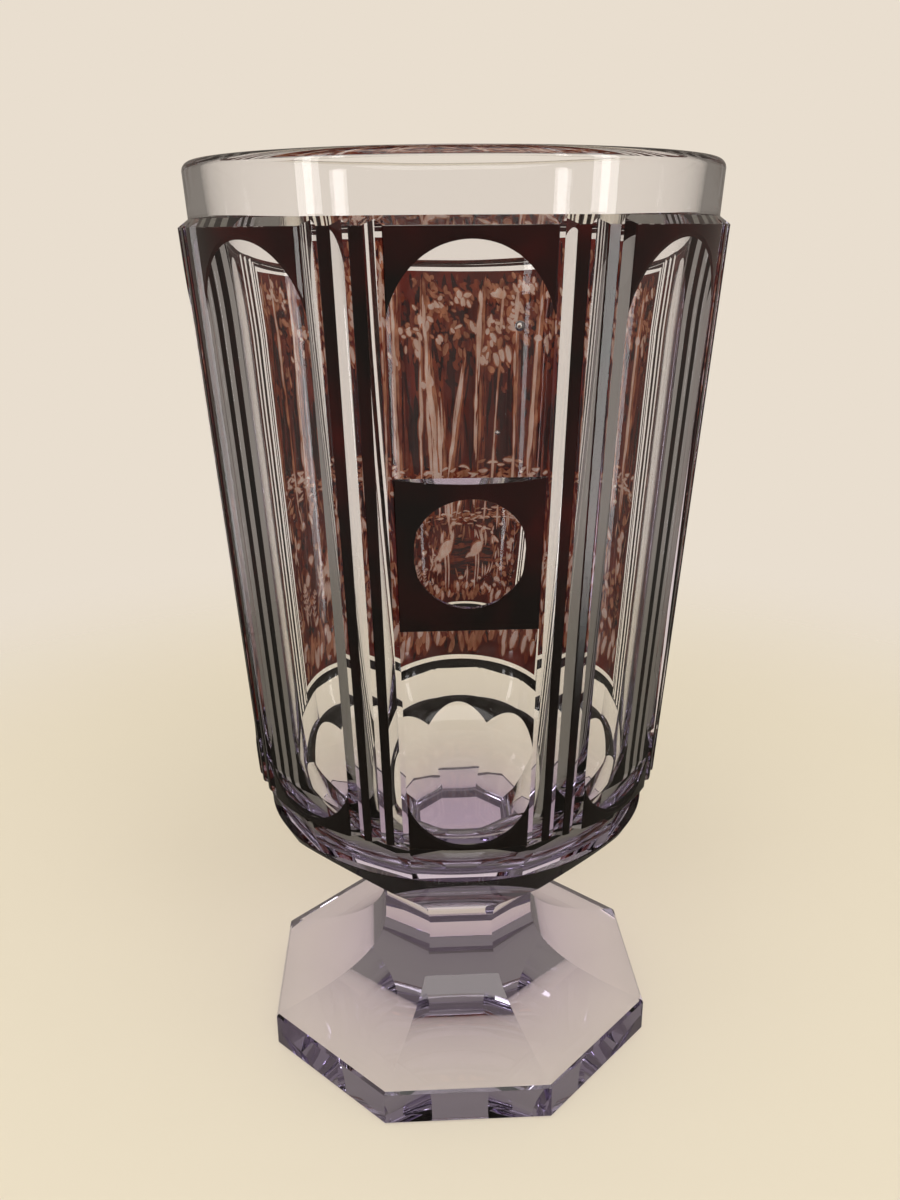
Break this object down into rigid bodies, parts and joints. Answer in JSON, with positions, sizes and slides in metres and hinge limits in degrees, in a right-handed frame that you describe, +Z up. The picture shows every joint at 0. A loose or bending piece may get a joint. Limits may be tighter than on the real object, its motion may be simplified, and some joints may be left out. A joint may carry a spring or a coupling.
{
  "type": "footed glass beaker",
  "caption": "Footed beaker of cut clear glass with a dark ruby overlay, round-headed windows, a round lens in a square medallion, a stained picture panel behind and an octagonal foot.",
  "frame": {"origin": "middle of the underside of the foot, on the surface that it stands on", "axes": "+Z up along the beaker's axis; -Y is the front, with the lens medallion; +X is to the right seen from the front"},
  "size_m": [0.093, 0.093, 0.17],
  "materials": {
    "clear_glass": "polished, clear with a faint amethyst tint in the thick foot",
    "ruby_glass": "polished, nearly opaque dark ruby",
    "stained_glass": "red-brown stain, engraved and part frosted"
  },
  "bodies": {
    "root": {"bowl": "clear_glass", "foot": "clear_glass", "header_front": "ruby_glass", "header_right_front": "ruby_glass", "header_right": "ruby_glass", "header_left": "ruby_glass", "header_left_front": "ruby_glass", "sill_front": "ruby_glass", "sill_right_front": "ruby_glass", "sill_right": "ruby_glass", "sill_left": "ruby_glass", "sill_left_front": "ruby_glass", "bar_right_front_near": "ruby_glass", "bar_right_front_far": "ruby_glass", "bar_right_side_near": "ruby_glass", "bar_right_side_far": "ruby_glass", "bar_right_back_near": "ruby_glass", "bar_right_back_far": "ruby_glass", "bar_left_back_near": "ruby_glass", "bar_left_back_far": "ruby_glass", "bar_left_side_near": "ruby_glass", "bar_left_side_far": "ruby_glass", "bar_left_front_near": "ruby_glass", "bar_left_front_far": "ruby_glass", "medallion": "ruby_glass", "back_strip": "ruby_glass", "underside_ring": "ruby_glass", "picture_panel": "stained_glass", "picture_border": "ruby_glass"}
  },
  "joints": []
}
